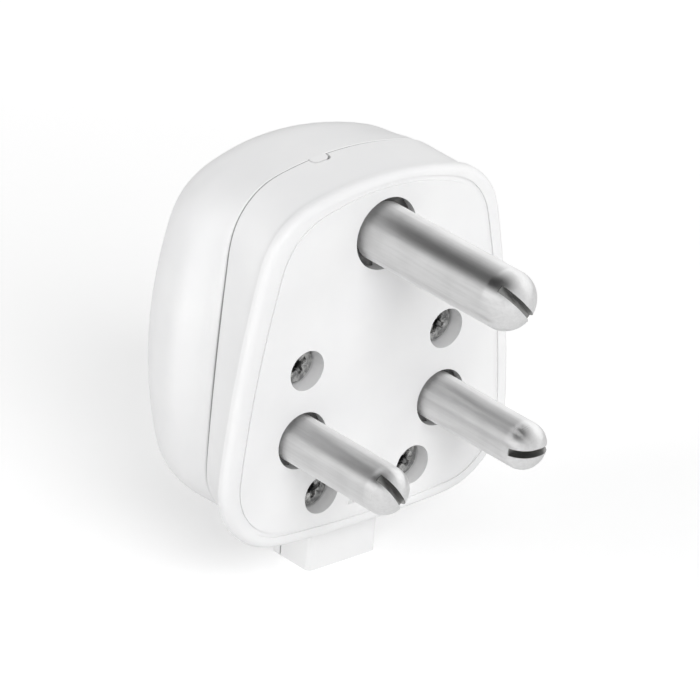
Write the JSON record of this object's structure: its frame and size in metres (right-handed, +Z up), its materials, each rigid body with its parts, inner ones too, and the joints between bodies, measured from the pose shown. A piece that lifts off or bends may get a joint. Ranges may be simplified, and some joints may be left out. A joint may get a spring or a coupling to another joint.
{
  "type": "three-pin plug top",
  "caption": "White moulded mains plug with a long earth pin over two shorter round pins, split at a parting line, with a cord outlet block below.",
  "frame": {"origin": "on the pin face, midway between the axes of the line and neutral pins", "axes": "+Z up towards the earth pin, -Y out of the pin face along the pins, +X towards the neutral pin"},
  "size_m": [0.0522, 0.0576, 0.0619],
  "materials": {
    "white_plastic": "moulded, low gloss",
    "pin_nickel": "satin nickel plate on turned brass",
    "screw_steel": "zinc plated steel",
    "brass": "turned",
    "inner_plastic": "moulded"
  },
  "bodies": {
    "root": {"front_housing": "white_plastic", "rear_cover": "white_plastic", "cord_clamp": "inner_plastic", "earth_pin": "pin_nickel", "earth_ring": "screw_steel", "earth_terminal_screw": "brass", "line_pin": "pin_nickel", "line_ring": "screw_steel", "line_terminal_screw": "brass", "neutral_pin": "pin_nickel", "neutral_ring": "screw_steel", "neutral_terminal_screw": "brass", "cover_screw_left": "screw_steel", "clamp_screw_left": "screw_steel", "cover_insert_left": "brass", "clamp_nut_left": "screw_steel", "cover_screw_right": "screw_steel", "clamp_screw_right": "screw_steel", "cover_insert_right": "brass", "clamp_nut_right": "screw_steel"}
  },
  "joints": []
}
